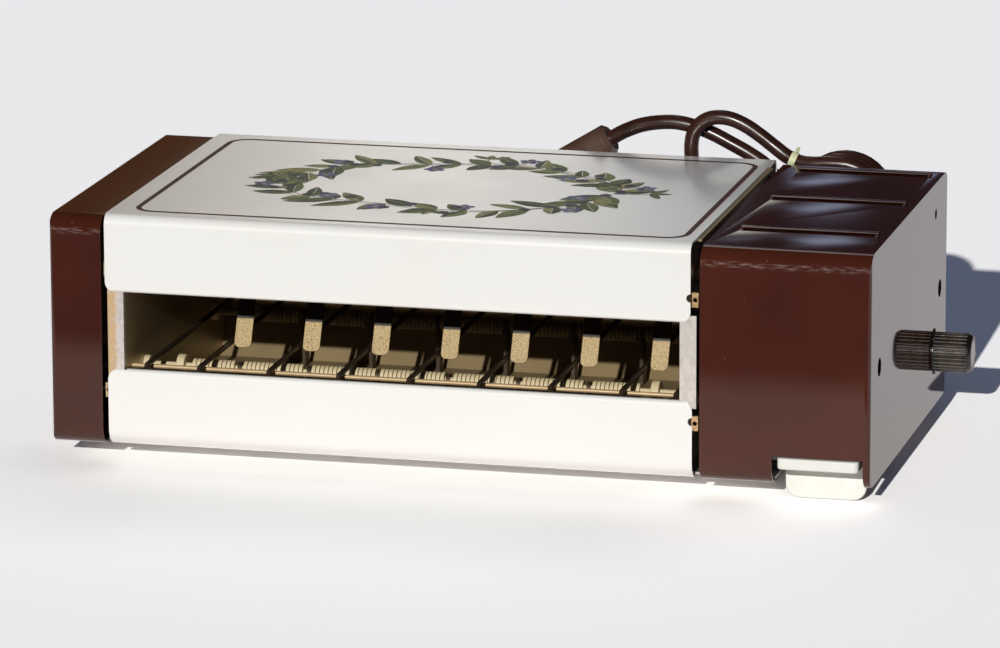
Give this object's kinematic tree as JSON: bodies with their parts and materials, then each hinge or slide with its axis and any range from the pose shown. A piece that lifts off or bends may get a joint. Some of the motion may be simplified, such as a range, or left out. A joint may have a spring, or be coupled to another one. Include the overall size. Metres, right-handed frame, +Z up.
{
  "type": "front-loading toaster",
  "caption": "Low front-loading toaster with cream enamel covers, brown end caps, a wire toast grid, an ejector comb with a pull handle, a timer knob and a tied-up power cord.",
  "frame": {"origin": "middle of the footprint of the toaster without its cord, on the surface it stands on", "axes": "+X to the right along the front, towards the control knob; +Y from the front to the back; +Z up"},
  "size_m": [0.472, 0.3191, 0.1644],
  "materials": {
    "brown_enamel": "gloss",
    "cream_enamel": "gloss",
    "zinc_sheet": "satin",
    "reflector_sheet": "satin",
    "dark_rod": "dull",
    "bright_rod": "bright",
    "ceramic": "dull ceramic",
    "comb_sheet": "dull speckled",
    "cream_plastic": "gloss",
    "knob_plastic": "satin",
    "cap_metal": "satin",
    "brass_strip": "dull",
    "inner_plastic": "dull",
    "dark_bakelite": "satin",
    "foot_rubber": "dull",
    "screw_steel": "bright",
    "cord_rubber": "satin",
    "tie_plastic": "dull",
    "pin_metal": "bright"
  },
  "bodies": {
    "housing": {"left_end_cap": "brown_enamel", "control_housing": "brown_enamel", "upper_cover": "cream_enamel", "lower_cover": "cream_enamel", "rear_panel": "zinc_sheet", "base_plate": "zinc_sheet", "feet": "foot_rubber", "foot_screws": "screw_steel", "left_side_plate": "zinc_sheet", "right_side_plate": "zinc_sheet", "rear_reflector": "reflector_sheet", "lower_reflector": "reflector_sheet", "upper_reflector": "reflector_sheet", "toast_grid": "dark_rod", "grid_cross_rods": "bright_rod", "lower_heater_front": "ceramic", "lower_heater_rear": "ceramic", "upper_heater_front": "ceramic", "upper_heater_rear": "ceramic", "heater_collars": "ceramic", "wall_bushings": "ceramic", "heater_supports_low": "dark_rod", "heater_supports_high": "dark_rod", "heater_links": "brass_strip", "guide_rod": "bright_rod", "guide_brackets": "zinc_sheet", "heat_shield": "zinc_sheet", "knob_washer": "knob_plastic", "timer_body": "inner_plastic", "timer_bell": "brass_strip", "main_switch": "dark_bakelite", "terminal_block": "ceramic", "wiring": "inner_plastic", "strain_relief": "cord_rubber", "cord_lead": "cord_rubber", "cord_hank": "cord_rubber", "cord_tail": "cord_rubber", "cord_tie": "tie_plastic", "plug_sleeve": "cord_rubber", "plug_body": "cord_rubber", "plug_pins": "pin_metal"},
    "ejector": {"ejector_comb": "comb_sheet", "slide_block": "inner_plastic", "ejector_arm": "zinc_sheet", "ejector_handle": "cream_plastic"},
    "control": {"knob": "knob_plastic", "knob_cap": "cap_metal", "timer_shaft": "bright_rod"}
  },
  "joints": [
    {"name": "ejector_slide", "type": "slide", "parent": "housing", "child": "ejector", "axis": [0, 1, 0], "range_m": [0, 0.08]},
    {"name": "timer_turn", "type": "hinge", "parent": "housing", "child": "control", "pos_m": [0.214, 0.0772, 0.0436], "axis": [1, 0, 0], "range_deg": [0, 280]}
  ]
}
